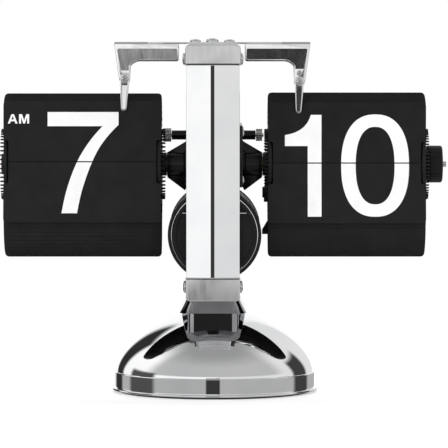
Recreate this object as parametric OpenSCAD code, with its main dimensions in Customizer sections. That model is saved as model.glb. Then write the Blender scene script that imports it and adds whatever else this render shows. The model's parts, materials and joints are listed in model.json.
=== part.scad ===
// Flip number clock: two drums of hinged leaves either side of a chromed column on a domed base.
// Millimetres, +Z up, the front looks along -Y. The origin is the centre of the base's underside.

/* [Base] */
// Diameter of the vertical band round the base
base_d = 91; // [90:1:92]
// Height of the band's upper edge
band_top = 9.2; // [8:0.2:11]
// Height of the small flat at the dome's top, hidden inside the neck
dome_top = 36.4; // [36:0.2:36.8]

/* [Column] */
// Width of the column's bars
column_w = 24; // [23:0.5:25]
// How far the column stands to the right of the base's centre
column_x = -0.7; // [-1:0.1:0]
// Height at which the bars meet the lower collar
column_z0 = 54.1; // [53:0.1:55]
// Height at which the bars meet the upper cap
column_z1 = 149; // [148:0.5:150]
// Height of the upper cap's top face
cap_top = 158.6; // [158:0.1:160]

/* [Drums] */
// Height of the drums' axis
axis_z = 103.8; // [103.6:0.1:104]
// Radius of the circle of leaf pins
pin_circle_r = 15.7; // [15.6:0.1:15.7]
// Distance from the middle of the clock to a leaf's inner edge
leaf_in = 24.2; // [24.2:0.1:24.6]
// Distance from the middle of the clock to a leaf's outer edge
leaf_out = 95.6; // [95:0.1:95.6]
// Length of a leaf beyond its pin
leaf_len = 26.6; // [26:0.1:27]
// Thickness of a leaf
leaf_t = 0.2; // [0.18:0.01:0.2]
// Leaves on the hour drum, two turns of the dial
hour_leaves = 48; // [48:1:48]
// Leaves on the minute drum
minute_leaves = 60; // [60:1:60]

/* [Battery] */
// Diameter of the round cell
cell_d = 34; // [33.2:0.1:34.2]
// Length of the cell over its button
cell_len = 61.4; // [61:0.1:61.5]
// Height of the barrel's axis
barrel_z = 73.1; // [73:0.1:73.2]

/* [Hidden] */
$fn = 64;

CHROME = [0.86, 0.87, 0.88];
DARK = [0.3, 0.3, 0.31];
STEEL = [0.62, 0.63, 0.65];
BLACK = [0.06, 0.06, 0.065];
NYLON = [0.86, 0.86, 0.83];
BRASS = [0.72, 0.58, 0.28];
fit = 0.05;   // radial clearance of a running shaft
snug = 0.02;  // radial clearance of a fixed shaft

base_r = base_d / 2;
plate_r = base_r + 1.4;
pad_t = 1;
dome_z0 = 2;
dome_a = base_r - 0.6;
// The dome's section is a superellipse, a little more conical than an ellipse
dome_n = 1.7;
dome_flat_r = 12.6;
dome_b = (dome_top - band_top) / pow(1 - pow(dome_flat_r / dome_a, dome_n), 1 / dome_n);
wall = 1.6;
// Half width and half depth of the neck, and of the flare's foot and head
neck_half = [11.5, 28];
skirt_foot = [15.2, 32];
skirt_head = [12, 28.8];
skirt_z = 37.5;
collar_z0 = 43.6;
collar_w = 24.5;
collar_screw_y = -37.4;
cap_w = 24.9;
cap_y = 40;
bar_y0 = 35;
bar_y1 = 37.4;
bar_ridge = 38.6;

arm_z1 = cap_top + 0.9;
arm_z0 = 150.7;
arm_y0 = -17;
arm_y1 = -9;
screw_y = -13;
cap_screw_x = [-8.7, -1, 6.7];
finger_t = 2;
// Foot of each leg, its pivot and its finger: [middle x, pivot z, finger tip z, nub y]
left_leg = [-40.6, 142.8, 128.5, -14.5];
right_leg = [38.3, 141.5, 127.4, -16.35];

box_x = 12.6;
box_z0 = 94.4;
box_z1 = 122;
hub_r = 5.4;
hub_x = 21.8;
arbor_r = 2;

wheel_r = 17.7;
wheel_t = 1.9;
pin_r = 0.4;
pin_out = 1.8;
notch_h = 8.8;
notch_w = 2.2;
tab_r = 0.16;
race_half = 0.75;
race_deep = 1.1;
hour_pitch = 360 / hour_leaves;
minute_pitch = 360 / minute_leaves;
// Angle round the drum of the front upper leaf's pin, from straight ahead, upwards
hour_first = 9.4;
minute_first = 6.5;
// How far the leaves stand out from the tangent, so that each clears the next
hour_lean = 6;
minute_lean = 7.5;
// Length of a leaf's short edge, behind its pin
hour_edge = 0.9;
minute_edge = 0.7;

gear_m = 0.5;
drive_n = 30;
inter_small_n = 10;
inter_large_n = 28;
motor_n = 8;
press_a = 28;
inter_a = 150;
inter_y = gear_m * (drive_n + inter_small_n) / 2 * cos(inter_a);
inter_z = axis_z + gear_m * (drive_n + inter_small_n) / 2 * sin(inter_a);
motor_y = inter_y - gear_m * (inter_large_n + motor_n) / 2;
motor_z = inter_z;

pinion_n = 8;
pinion_r = pin_circle_r * pinion_n / hour_leaves;
shaft_y = (pin_circle_r + pinion_r) * cos(45);
shaft_z = axis_z + (pin_circle_r + pinion_r) * sin(45);

barrel_r = 20.6;
cover_r = 21;
barrel_y0 = -32.9;
barrel_y1 = 33.5;
door_y = 33.7;
door_t = 2.3;
hinge_y = 35.2;
hinge_z = 50.1;
hinge_r = 1.5;
hinge_pin_r = 0.75;

// ---- building blocks ----

// Extrudes an outline drawn in (Y, Z) from x0 to x1
module along_x(x0, x1, y = 0, z = 0)
    translate([x0, y, z]) rotate([90, 0, 90]) linear_extrude(x1 - x0) children();

// Extrudes an outline drawn in (X, Z) from y0 to y1
module along_y(y0, y1)
    translate([0, y1, 0]) rotate([90, 0, 0]) linear_extrude(y1 - y0) children();

module rod_x(r, x0, x1, y = 0, z = 0)
    translate([x0, y, z]) rotate([0, 90, 0]) cylinder(h = x1 - x0, r = r);

module rod_y(r, y0, y1, x = 0, z = 0)
    translate([x, y0, z]) rotate([-90, 0, 0]) cylinder(h = y1 - y0, r = r);

module rod_z(r, z0, z1, x = 0, y = 0)
    translate([x, y, z0]) cylinder(h = z1 - z0, r = r);

module block(x0, x1, y0, y1, z0, z1)
    translate([x0, y0, z0]) cube([x1 - x0, y1 - y0, z1 - z0]);

// Points of a quarter arc about (cx, cy) from angle a0 to a1
function arc(cx, cy, r, a0, a1, n = 5) =
    [for (i = [0:n]) [cx + r * cos(a0 + (a1 - a0) * i / n), cy + r * sin(a0 + (a1 - a0) * i / n)]];

// Rectangle with rounded corners, centred on x
module round_rect(w, z0, z1, r_low, r_high)
    polygon(concat(
        arc(w / 2 - r_low, z0 + r_low, r_low, -90, 0),
        arc(w / 2 - r_high, z1 - r_high, r_high, 0, 90),
        arc(-w / 2 + r_high, z1 - r_high, r_high, 90, 180),
        arc(-w / 2 + r_low, z0 + r_low, r_low, 180, 270)));

// Screw with a domed head; z runs from the head outwards
module screw(head_r, head_h, shank_r, shank_len) {
    cylinder(h = head_h * 0.6, r = head_r);
    translate([0, 0, head_h * 0.6]) cylinder(h = head_h * 0.4, r1 = head_r, r2 = head_r * 0.7);
    translate([0, 0, -shank_len]) cylinder(h = shank_len, r = shank_r);
}

// ---- gears ----

function involute(a) = tan(a) * 180 / PI - a;
function flank(r, rb, half) = half + involute(press_a) - involute(acos(min(1, rb / max(r, rb))));

// Gear outline centred on the origin, with a tooth pointing along +X
module gear_outline(m, n, slack = 0.06) {
    rp = m * n / 2;
    rb = rp * cos(press_a);
    root = rp - 1.05 * m;
    tip = rp + 0.75 * m;
    half = 90 / n - slack / rp * 180 / PI;
    radii = [root, max(rb, root + 0.01), rp, (rp + tip) / 2, tip];
    polygon([for (i = [0:n - 1]) let (a = i * 360 / n) each concat(
        [for (r = radii) [r * cos(a - flank(r, rb, half)), r * sin(a - flank(r, rb, half))]],
        [for (k = [4:-1:0]) let (r = radii[k])
            [r * cos(a + flank(r, rb, half)), r * sin(a + flank(r, rb, half))]])]);
}

// Angle at which a second wheel meshes with a first whose tooth stands at angle t1
function mesh_turn(dir, t1, n1, n2) = dir + 180 - 180 / n2 + (dir - t1) * n1 / n2;

// Pinion outline with n slim rounded spokes that pass between the drum's pins
module lantern_pinion_outline(n, r) {
    circle(r = r - 0.95);
    for (i = [0:n - 1])
        rotate(i * 360 / n)
            polygon([[0, -0.42], [r - 0.1, -0.36], [r + 0.5, -0.14], [r + 0.5, 0.14],
                [r - 0.1, 0.36], [0, 0.42]]);
}

// ---- leaves ----

function pin_y(a) = -pin_circle_r * cos(a);
function pin_z(a) = axis_z + pin_circle_r * sin(a);
// Direction in which a leaf at angle a lies: tangent plus its lean, but never past hanging straight
function leaf_dir(a, lean) = a <= 270 ? min(a + 90 - lean, 270) : max(270, a - 90 + lean);

// Leaf outline: x across the drum from leaf_in to leaf_out, y away from the pin
module leaf_outline(edge) {
    r = 1.7;
    x0 = leaf_in;
    x1 = leaf_out;
    polygon(concat(
        [[x0 + notch_w, -edge], [x1 - notch_w, -edge], [x1 - notch_w, notch_h - 0.6],
            [x1 - notch_w + 0.6, notch_h], [x1 - 0.8, notch_h], [x1, notch_h + 0.8]],
        arc(x1 - r, leaf_len - r, r, 0, 90),
        arc(x0 + r, leaf_len - r, r, 90, 180),
        [[x0, notch_h + 0.8], [x0 + 0.8, notch_h], [x0 + notch_w - 0.6, notch_h],
            [x0 + notch_w, notch_h - 0.6]]));
}

// One leaf on the right-hand side, its pin at angle a round the drum
module leaf(a, lean, edge)
    translate([0, pin_y(a), pin_z(a)]) rotate([90 - leaf_dir(a, lean), 0, 0]) {
        translate([0, leaf_t / 2, 0]) rotate([90, 0, 0]) linear_extrude(leaf_t) leaf_outline(edge);
        rod_x(tab_r, leaf_in + 1.2, leaf_in + notch_w);
        rod_x(tab_r, leaf_out - notch_w, leaf_out - 1.2);
    }

module minute_leaf(j) leaf(minute_first + minute_pitch * j, minute_lean, minute_edge);
module hour_leaf(j)
    mirror([1, 0, 0]) leaf(hour_first + hour_pitch * j, hour_lean, hour_edge);

// ---- base and neck ----

module base_foot_pad() color(BLACK) rod_z(base_r - 2, 0, pad_t);

module base_plate() color(CHROME) rotate_extrude()
    polygon([[0, pad_t], [plate_r - 0.3, pad_t], [plate_r, pad_t + 0.3],
        [plate_r, dome_z0 - 0.3], [plate_r - 0.3, dome_z0], [0, dome_z0]]);

// Outline of the dome, shrunk inwards by t
function dome_curve(t, n) =
    let (a1 = acos(pow((dome_flat_r - t) / (dome_a - t), dome_n / 2)))
    [for (i = [0:n]) let (a = a1 * i / n)
        [(dome_a - t) * pow(cos(a), 2 / dome_n),
            band_top + (dome_b - t) * pow(sin(a), 2 / dome_n)]];

module dome_solid() rotate_extrude($fn = 128) polygon(concat(
    [[0, dome_z0], [base_r, dome_z0], [base_r, band_top - 0.3], [base_r - 0.3, band_top]],
    dome_curve(0, 20),
    [[0, dome_top]]));

module base_dome() color(CHROME) difference() {
    dome_solid();
    rotate_extrude($fn = 128) polygon(concat(
        [[0, dome_z0 - 1], [base_r - wall, dome_z0 - 1], [base_r - wall, band_top - 1]],
        dome_curve(wall, 14),
        [[0, dome_top - wall]]));
    rod_z(3.2, dome_top - 5, dome_top + 1);
}

module base_weight() color(STEEL) difference() {
    rod_z(40, dome_z0, 13);
    rod_z(3.2, 0, 14);
    rod_z(6.5, 0, 7);
}

module base_bolt() color(STEEL) {
    rod_z(5.5, 3, 7);
    rod_z(3, 7, 47);
}

// Plan of the neck and its flare: long from front to back, with rounded corners
module neck_plan(half, r)
    polygon(concat(
        arc(half[0] - r, half[1] - r, r, 0, 90, 8),
        arc(-half[0] + r, half[1] - r, r, 90, 180, 8),
        arc(-half[0] + r, -half[1] + r, r, 180, 270, 8),
        arc(half[0] - r, -half[1] + r, r, 270, 360, 8)));

// The neck's underside follows the dome
module neck_block() color(DARK) difference() {
    translate([column_x, 0, band_top]) linear_extrude(skirt_z - band_top)
        neck_plan(neck_half, 3);
    dome_solid();
    rod_z(3.2, dome_top - 1, skirt_z + 1);
}

module neck_skirt() color(DARK) difference() {
    translate([column_x, 0, skirt_z])
        linear_extrude(collar_z0 - skirt_z, scale = [skirt_head[0] / skirt_foot[0],
            skirt_head[1] / skirt_foot[1]]) neck_plan(skirt_foot, 7);
    rod_z(3.2, skirt_z - 1, collar_z0 + 1);
}

// ---- frame ----

// Blind hole for a side screw's shank, from 8 mm off the column's centre line outwards
module side_screw_bore(side, y, z) translate([column_x, 0, 0])
    rod_x(1.2 + snug, min(side * 8, side * 20), max(side * 8, side * 20), y, z);

module lower_collar() color(CHROME) difference() {
    translate([column_x, 0, 0]) intersection() {
        along_y(-cap_y, 22) round_rect(collar_w, collar_z0, column_z0, 2.5, 0.3);
        along_x(-collar_w, collar_w) polygon(concat(
            arc(-cap_y + 2, collar_z0 + 2, 2, 180, 270),
            [[22, collar_z0], [22, collar_z0 + 5], [-bar_y0, collar_z0 + 5], [-bar_y0, column_z0],
                [-cap_y + 0.3, column_z0], [-cap_y, column_z0 - 0.3]]));
    }
    rod_z(3 + snug, collar_z0 - 1, collar_z0 + 3.6);
    for (side = [-1, 1]) side_screw_bore(side, collar_screw_y, 50);
}

module barrel_saddle() color(BLACK) difference() {
    block(-11, 11, -32.5, 22, collar_z0 + 5, 55);
    rod_y(barrel_r + fit, -40, 40, 0, barrel_z);
}

// Bar section: flat behind, two faces meeting in a shallow ridge in front
module bar_section(side)
    polygon([[-column_w / 2, side * bar_y0], [column_w / 2, side * bar_y0],
        [column_w / 2, side * bar_y1], [0, side * bar_ridge], [-column_w / 2, side * bar_y1]]);

module column_front_bar() color(CHROME)
    translate([column_x, 0, column_z0]) linear_extrude(column_z1 - column_z0) bar_section(-1);

module column_rear_bar() color(CHROME)
    translate([column_x, 0, 96]) linear_extrude(column_z1 - 96) bar_section(1);

module upper_cap() color(CHROME) difference() {
    translate([column_x, 0, 0]) intersection() {
        along_y(-cap_y, cap_y) round_rect(cap_w, column_z1, cap_top, 0.3, 2.5);
        along_x(-cap_w, cap_w) polygon(concat(
            [[-cap_y + 0.3, column_z1], [cap_y - 0.3, column_z1], [cap_y, column_z1 + 0.3]],
            arc(cap_y - 1.8, cap_top - 1.8, 1.8, 0, 90),
            arc(-cap_y + 1.8, cap_top - 1.8, 1.8, 90, 180),
            [[-cap_y, column_z1 + 0.3]]));
    }
    for (x = cap_screw_x) rod_z(1.5 + snug, 152, cap_top + 1, x, screw_y);
    for (side = [-1, 1], y = [-36, 36]) side_screw_bore(side, y, 152);
}

// Screw in the side of a part whose half width is x
module side_screw(side, x, y, z)
    translate([column_x + side * x, y, z]) rotate([0, side * 90, 0]) screw(2.7, 1.3, 1.2, 4);

module side_screws() color(STEEL) {
    for (side = [-1, 1], y = [-36, 36]) side_screw(side, cap_w / 2, y, 152);
    for (side = [-1, 1]) side_screw(side, collar_w / 2, collar_screw_y, 50);
}

module top_plate() color(CHROME) difference() {
    block(-30, 30, arm_y0, arm_y1, cap_top, arm_z1);
    for (x = cap_screw_x) rod_z(1.5 + snug, 158, 160, x, screw_y);
    for (x = [-23, 23]) rod_z(1.9 + snug, 158, 160, x, screw_y);
}

module top_screws() color(STEEL) {
    translate([cap_screw_x[0], screw_y, arm_z1]) screw(2.5, 1.4, 1.5, 7);
    translate([cap_screw_x[1], screw_y, arm_z1]) screw(2.85, 1.8, 1.5, 7);
    translate([cap_screw_x[2], screw_y, arm_z1]) screw(2.4, 1.3, 1.5, 7);
    for (x = [-23, 23]) translate([x, screw_y, cap_top]) screw(1.9, 0.85, 1, 5);
}

// Arm drawn on the right-hand side: out from the plate, then a tapering leg down
module arm(inner, outer, leg_x, leg_w, foot_z, pivot_z) difference() {
    along_y(arm_y0, arm_y1) difference() {
        polygon(concat(
            [[inner, arm_z1], [inner, arm_z0 + 0.8]],
            arc(inner + 0.8, arm_z0 + 0.8, 0.8, 180, 270),
            arc(leg_x - leg_w / 2 - 4.4, arm_z0 - 5.4, 5.4, 90, 0, 6),
            [[leg_x - leg_w / 2 + 1, foot_z + 1.6], [leg_x, foot_z],
                [leg_x + leg_w / 2 - 0.8, foot_z + 1.6], [leg_x + leg_w / 2, foot_z + 4]],
            arc(outer - 1.4, arm_z1 - 1.4, 1.4, 0, 90)));
        translate([inner - 1, cap_top]) square([31 - inner, 2]);
    }
    block(inner - 1, outer - 1.6, arm_y0 - 1, arm_y0 + 1.2, arm_z0 - 0.01, cap_top - 2.6);
    rod_z(1 + snug, 153, cap_top + 1, 23, screw_y);
    rod_y(1 + snug, arm_y0 - 1, arm_y0 + 5, leg_x, pivot_z);
}

module arm_left() color(CHROME) mirror([1, 0, 0])
    arm(16.1, 45.5, -left_leg[0], 5.4, 139.8, left_leg[1]);

module arm_right() color(CHROME) difference() {
    arm(13.6, 43.4, right_leg[0], 5.4, 138.6, right_leg[1]);
    rod_y(0.8 + snug, arm_y0 - 1, arm_y0 + 4, right_leg[0] + 0.1, 145.4);
}

// Finger that holds back the front upper leaf; leg is left_leg or right_leg
module finger(leg, top_w, tip_w) difference() {
    front = arm_y0 - 0.15 - finger_t;
    back = arm_y0 - 0.15;
    union() {
        along_y(front, back) polygon(concat(
            arc(leg[0], leg[1] + 0.4, top_w / 2, 0, 180, 10),
            arc(leg[0] - 0.4, leg[2] + tip_w / 2, tip_w / 2, 180, 360, 8)));
        block(leg[0] - 0.4 - tip_w / 2 + 0.2, leg[0] - 0.4 + tip_w / 2 - 0.2, back - 0.1, leg[3],
            leg[2] + 1, leg[2] + 3);
    }
    rod_y(1 + fit, front - 1, back + 1, leg[0], leg[1]);
    block(leg[0] - top_w / 2 + 0.7, leg[0] - 0.4 + tip_w / 2 - 0.6, front - 1, front + 0.8,
        leg[2] + 2, leg[1] - 2.6);
}

module finger_left() color(CHROME) finger(left_leg, 4.4, 2.8);
module finger_right() color(CHROME) finger(right_leg, 4.2, 3);

module finger_screws() color(STEEL) {
    for (leg = [left_leg, right_leg])
        translate([leg[0], arm_y0 - 0.15 - finger_t - 0.1, leg[1]]) rotate([90, 0, 0])
            screw(1.8, 1, 1, 6.5);
    translate([right_leg[0] + 0.1, arm_y0, 145.4]) rotate([90, 0, 0]) screw(1.3, 1, 0.8, 3.5);
}

// ---- movement ----

// Gearbox half on the right-hand side, with the drum's hub and its webs
module gearbox_half(bore_r) difference() {
    union() {
        block(0, box_x, -bar_y0, bar_y0, box_z0, box_z1);
        rod_x(hub_r, box_x - 1, hub_x, 0, axis_z);
        along_y(-1.2, 1.2) polygon([[box_x - 1, box_z0], [13.6, 91.8], [hub_x, axis_z - 6],
            [hub_x, axis_z + 5.4], [13.6, 113.9], [box_x - 1, 115]]);
    }
    block(-1, box_x - 1.5, -bar_y0 + 1.5, bar_y0 - 1.5, box_z0 + 1.2, box_z1 - 1.2);
    rod_x(bore_r, 0, 30, 0, axis_z);
    rod_x(2.15 + snug, 0, 20, shaft_y, shaft_z);
    for (y = [-31, 31], z = [97.6, 118.8]) rod_x(1 + snug, 0, 20, y, z);
}

module gearbox_left() color(BLACK) mirror([1, 0, 0]) gearbox_half(arbor_r + snug);
module gearbox_right() color(BLACK) gearbox_half(3.2 + snug);

module gearbox_screws() color(STEEL)
    for (y = [-31, 31], z = [97.6, 118.8]) {
        rod_x(1, -12.5, box_x, y, z);
        rod_x(1.8, box_x, box_x + 0.8, y, z);
    }

module gear_plate() color(BRASS) difference() {
    block(0.1, 1.1, -28, 20, box_z0 + 1.2, box_z1 - 1.2);
    rod_x(arbor_r + fit, -1, 2, 0, axis_z);
    rod_x(0.8 + fit, -1, 2, inter_y, inter_z);
    rod_x(0.8 + fit, -1, 2, motor_y, motor_z);
    rod_x(2.15 + snug, -1, 2, shaft_y, shaft_z);
}

module motor() color(STEEL) difference() {
    rod_x(7.5, -10.9, 0.1, motor_y, motor_z);
    rod_x(0.8 + fit, -6, 1, motor_y, motor_z);
}

drive_turn = 0;
inter_turn = mesh_turn(inter_a, drive_turn, drive_n, inter_small_n);
motor_turn = mesh_turn(180, inter_turn, inter_large_n, motor_n);
pinion_turn = mesh_turn(45, 180 - hour_first, hour_leaves, pinion_n);

module motor_pinion() color(NYLON) {
    along_x(1.6, 4.2, motor_y, motor_z) rotate(motor_turn) gear_outline(gear_m, motor_n);
    rod_x(0.8, -5, 1.6, motor_y, motor_z);
}

module intermediate_gear() color(NYLON) {
    along_x(1.6, 4, inter_y, inter_z) rotate(inter_turn) gear_outline(gear_m, inter_large_n);
    along_x(4, 7.6, inter_y, inter_z) rotate(inter_turn) gear_outline(gear_m, inter_small_n);
    rod_x(0.8, -1, 9, inter_y, inter_z);
}

module drive_gear() color(BRASS) along_x(4.6, 7.2, 0, axis_z) difference() {
    rotate(drive_turn) gear_outline(gear_m, drive_n);
    circle(r = arbor_r + snug);
}

module arbor_bush() color(BRASS) difference() {
    rod_x(3.2, 10.5, hub_x + 0.4, 0, axis_z);
    rod_x(arbor_r + fit, 10, hub_x + 1, 0, axis_z);
}

// ---- battery ----

module battery_barrel() color(BLACK) difference() {
    union() {
        rod_y(barrel_r, barrel_y0, barrel_y1, 0, barrel_z);
        for (x = [-1, 1]) scale([x, 1, 1]) {
            rod_x(hinge_r, 3.3, 7.5, hinge_y, hinge_z);
            block(3.3, 7.5, 27, hinge_y, hinge_z - hinge_r, hinge_z + 0.4);
            block(3.3, 7.5, 27, barrel_y1, hinge_z, 54.5);
        }
    }
    rod_y(cell_d / 2 + 0.5, barrel_y0 - 1, barrel_y1 + 1, 0, barrel_z);
    rod_x(hinge_pin_r + snug, -10, 10, hinge_y, hinge_z);
}

module barrel_front_cover() color(BLACK) difference() {
    rod_y(cover_r, -34.9, barrel_y0, 0, barrel_z);
    along_y(-36, -34.3) translate([0, barrel_z]) difference() {
        circle(r = 19.55);
        circle(r = 18.95);
    }
}

module barrel_trim_ring() color(CHROME) along_y(-34.9, -34.32) translate([0, barrel_z])
    difference() {
        circle(r = 19.5);
        circle(r = 19);
    }

module battery_cell() color(STEEL) {
    rod_y(cell_d / 2, -29.4, -29.4 + cell_len - 1.5, 0, barrel_z);
    rod_y(4.75, -29.4 + cell_len - 1.5, -29.4 + cell_len, 0, barrel_z);
}

// Conical contact spring: closed rings joined by a strip
module battery_spring() color(STEEL) {
    for (i = [0:3])
        translate([0, -32.4 + 0.7 * i, barrel_z]) rotate([-90, 0, 0])
            rotate_extrude() translate([9 - 1.4 * i, 0.35]) square([1.6, 0.7], center = true);
}

module battery_contact() color(BRASS)
    rod_y(6, -29.4 + cell_len + 0.1, door_y, 0, barrel_z);

module battery_door() color(BLACK) difference() {
    union() {
        rod_y(cover_r, door_y, door_y + door_t, 0, barrel_z);
        rod_x(hinge_r, -3, 3, hinge_y, hinge_z);
        block(-3, 3, door_y + 0.2, door_y + door_t, hinge_z, 54);
        block(-5, 5, door_y + door_t - 0.1, door_y + door_t + 1.6, 88.4, 90);
    }
    rod_x(hinge_pin_r + fit, -10, 10, hinge_y, hinge_z);
}

module door_hinge_pin() color(STEEL) rod_x(hinge_pin_r, -7.5, 7.5, hinge_y, hinge_z);

// ---- drums ----

// Pins standing out of a drum wheel, drawn in (Y, Z)
module pin_ring(n, first)
    for (j = [0:n - 1])
        translate([-pin_circle_r * cos(first + 360 / n * j), pin_circle_r * sin(first + 360 / n * j)])
            circle(r = pin_r, $fn = 16);

// Drum wheel from face x0 to x1; out is the side that its pins stand on, the race is on the other
module wheel(x0, x1, out, n, first, boss_x0, boss_x1) difference() {
    union() {
        rod_x(wheel_r, x0, x1, 0, axis_z);
        rod_x(5, boss_x0, boss_x1, 0, axis_z);
        along_x(out > 0 ? x1 - 0.2 : x0 - pin_out, out > 0 ? x1 + pin_out : x0 + 0.2, 0, axis_z)
            pin_ring(n, first);
    }
    rod_x(arbor_r + snug, -200, 200, 0, axis_z);
    along_x(out > 0 ? x0 - 1 : x1 - race_deep, out > 0 ? x0 + race_deep : x1 + 1, 0, axis_z)
        difference() {
            circle(r = pin_circle_r + race_half);
            circle(r = pin_circle_r - race_half);
        }
}

wheel_in0 = leaf_in + 0.1;
wheel_in1 = wheel_in0 + wheel_t;
wheel_out1 = leaf_out - 0.1;
wheel_out0 = wheel_out1 - wheel_t;

module minute_arbor() color(STEEL) {
    rod_x(arbor_r, -1.5, 103.4, 0, axis_z);
    rod_x(1.3, 103.4, 105.6, 0, axis_z);
}

// The inner wheel also carries the stepped lug that trips the carry star once a turn
module minute_wheel_inner() color(BLACK) {
    wheel(wheel_in0, wheel_in1, -1, minute_leaves, minute_first, 22.5, wheel_in1);
    block(21.7, wheel_in0 + 0.1, -2.4, 2.4, axis_z - 15.2, axis_z - 10.4);
    block(22.4, wheel_in0 + 0.1, -2.4, 2.4, axis_z - 17.2, axis_z - 15.1);
}

module minute_wheel_outer() color(BLACK)
    wheel(wheel_out0, wheel_out1, 1, minute_leaves, minute_first, wheel_out0, 96.4);

module core(x0, x1, bore) difference() {
    rod_x(7, x0, x1, 0, axis_z);
    rod_x(bore, x0 - 1, x1 + 1, 0, axis_z);
}

module minute_core() color(BLACK) core(wheel_in1, wheel_out0, arbor_r + snug);

module set_knob() color(BLACK) difference() {
    translate([0, 0, axis_z]) rotate([0, 90, 0]) rotate_extrude() polygon([[0, 96.6],
        [8.2, 96.6], [8.45, 96.9], [8.45, 103], [7.9, 103.6], [5, 104], [0, 104.1]]);
    rod_x(arbor_r + snug, 90, 103.45, 0, axis_z);
    rod_x(1.3 + snug, 100, 106, 0, axis_z);
    for (a = [0:10:350]) rotate_about_axis(a)
        rod_x(0.35, 97.2, 102.8, 8.75, axis_z);
}

module rotate_about_axis(a)
    translate([0, 0, axis_z]) rotate([a, 0, 0]) translate([0, 0, -axis_z]) children();

module minute_leaf_upper() color(BLACK) minute_leaf(0);
module minute_leaf_lower() color(BLACK) minute_leaf(minute_leaves - 1);
module minute_leaves_fan() color(BLACK) for (j = [1:28]) minute_leaf(j);
module minute_leaves_hanging() color(BLACK) for (j = [29:minute_leaves - 2]) minute_leaf(j);

// Pointed flag on the inner edge of one hanging leaf
module minute_carry_tab() color(BLACK) {
    y = pin_y(minute_first + minute_pitch * 44);
    along_y(y - leaf_t / 2, y + leaf_t / 2)
        polygon([[leaf_in, 71.8], [leaf_in, 78.4], [21.6, 74], [21.6, 71.8]]);
}

module hour_axle() color(STEEL) rod_x(arbor_r, -97, -10, 0, axis_z);

module axle_clip() color(STEEL) difference() {
    rod_x(3.6, -96.5, -95.9, 0, axis_z);
    rod_x(arbor_r + snug, -97, -95, 0, axis_z);
}

module hour_wheel_inner() color(BLACK) mirror([1, 0, 0]) difference() {
    wheel(wheel_in0, wheel_in1, -1, hour_leaves, hour_first, 22.5, wheel_in1);
    rod_x(arbor_r + fit, 20, 30, 0, axis_z);
}

module hour_wheel_outer() color(BLACK) mirror([1, 0, 0]) difference() {
    wheel(wheel_out0, wheel_out1, 1, hour_leaves, hour_first, wheel_out0, 95.6);
    rod_x(arbor_r + fit, 90, 100, 0, axis_z);
}

module hour_core() color(BLACK) mirror([1, 0, 0]) core(wheel_in1, wheel_out0, arbor_r + fit);

module hour_leaf_upper() color(BLACK) hour_leaf(0);
module hour_leaf_lower() color(BLACK) hour_leaf(hour_leaves - 1);
module hour_leaves_fan() color(BLACK) for (j = [1:22]) hour_leaf(j);
module hour_leaves_hanging() color(BLACK) for (j = [23:hour_leaves - 2]) hour_leaf(j);

// ---- carry between the drums ----

module transfer_shaft() color(STEEL) rod_x(0.9, -23.4, 22.4, shaft_y, shaft_z);

module transfer_sleeve() color(BLACK) difference() {
    rod_x(2.15, -19.8, 18.7, shaft_y, shaft_z);
    rod_x(0.9 + fit, -21, 20, shaft_y, shaft_z);
}

module hour_pinion() color(NYLON) along_x(-23.7, -20, shaft_y, shaft_z) difference() {
    rotate(pinion_turn) lantern_pinion_outline(pinion_n, pinion_r);
    circle(r = 0.9 + snug);
}

// Star wheel that the minute drum's carry flag steps round
module carry_star() color(NYLON) along_x(18.9, 21.8, shaft_y, shaft_z) difference() {
    union() {
        circle(r = 1.7);
        for (i = [0:3]) rotate(pinion_turn + 90 * i) translate([0, -0.5]) square([2.75, 1]);
    }
    circle(r = 0.9 + snug);
}

base_foot_pad();
base_plate();
base_dome();
base_weight();
base_bolt();
neck_block();
neck_skirt();
lower_collar();
barrel_saddle();
column_front_bar();
column_rear_bar();
upper_cap();
side_screws();
top_plate();
top_screws();
arm_left();
arm_right();
finger_left();
finger_right();
finger_screws();
gearbox_left();
gearbox_right();
gear_plate();
gearbox_screws();
motor();
motor_pinion();
intermediate_gear();
drive_gear();
arbor_bush();
battery_barrel();
barrel_front_cover();
barrel_trim_ring();
battery_cell();
battery_spring();
battery_contact();
battery_door();
door_hinge_pin();
minute_arbor();
minute_wheel_inner();
minute_wheel_outer();
minute_core();
set_knob();
minute_leaf_upper();
minute_leaf_lower();
minute_leaves_fan();
minute_leaves_hanging();
minute_carry_tab();
hour_axle();
axle_clip();
hour_wheel_inner();
hour_wheel_outer();
hour_core();
hour_leaf_upper();
hour_leaf_lower();
hour_leaves_fan();
hour_leaves_hanging();
transfer_shaft();
transfer_sleeve();
hour_pinion();
carry_star();
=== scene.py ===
import json
import math
import bmesh
import bpy
from mathutils import Matrix, Vector


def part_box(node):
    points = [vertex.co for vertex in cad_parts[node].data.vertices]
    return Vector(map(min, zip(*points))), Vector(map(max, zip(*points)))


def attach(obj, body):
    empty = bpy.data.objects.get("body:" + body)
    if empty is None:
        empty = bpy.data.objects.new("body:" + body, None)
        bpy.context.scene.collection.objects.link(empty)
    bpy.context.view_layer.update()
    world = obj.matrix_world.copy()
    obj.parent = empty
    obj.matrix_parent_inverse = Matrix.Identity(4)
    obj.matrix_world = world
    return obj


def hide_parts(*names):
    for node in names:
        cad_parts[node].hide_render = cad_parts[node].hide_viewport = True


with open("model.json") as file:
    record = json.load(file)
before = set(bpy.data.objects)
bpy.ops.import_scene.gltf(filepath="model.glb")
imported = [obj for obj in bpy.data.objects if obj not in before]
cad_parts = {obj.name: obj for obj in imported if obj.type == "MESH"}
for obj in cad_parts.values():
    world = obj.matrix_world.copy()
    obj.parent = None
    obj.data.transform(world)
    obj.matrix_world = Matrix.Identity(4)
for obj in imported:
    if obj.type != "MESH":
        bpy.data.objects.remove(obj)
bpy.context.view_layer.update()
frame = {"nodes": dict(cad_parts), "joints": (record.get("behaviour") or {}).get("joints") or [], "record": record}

MM = 0.001
NODES = frame["nodes"]
JOINTS = {j["name"]: j for j in frame["joints"]}

# -------- sizes, from the frame

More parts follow.
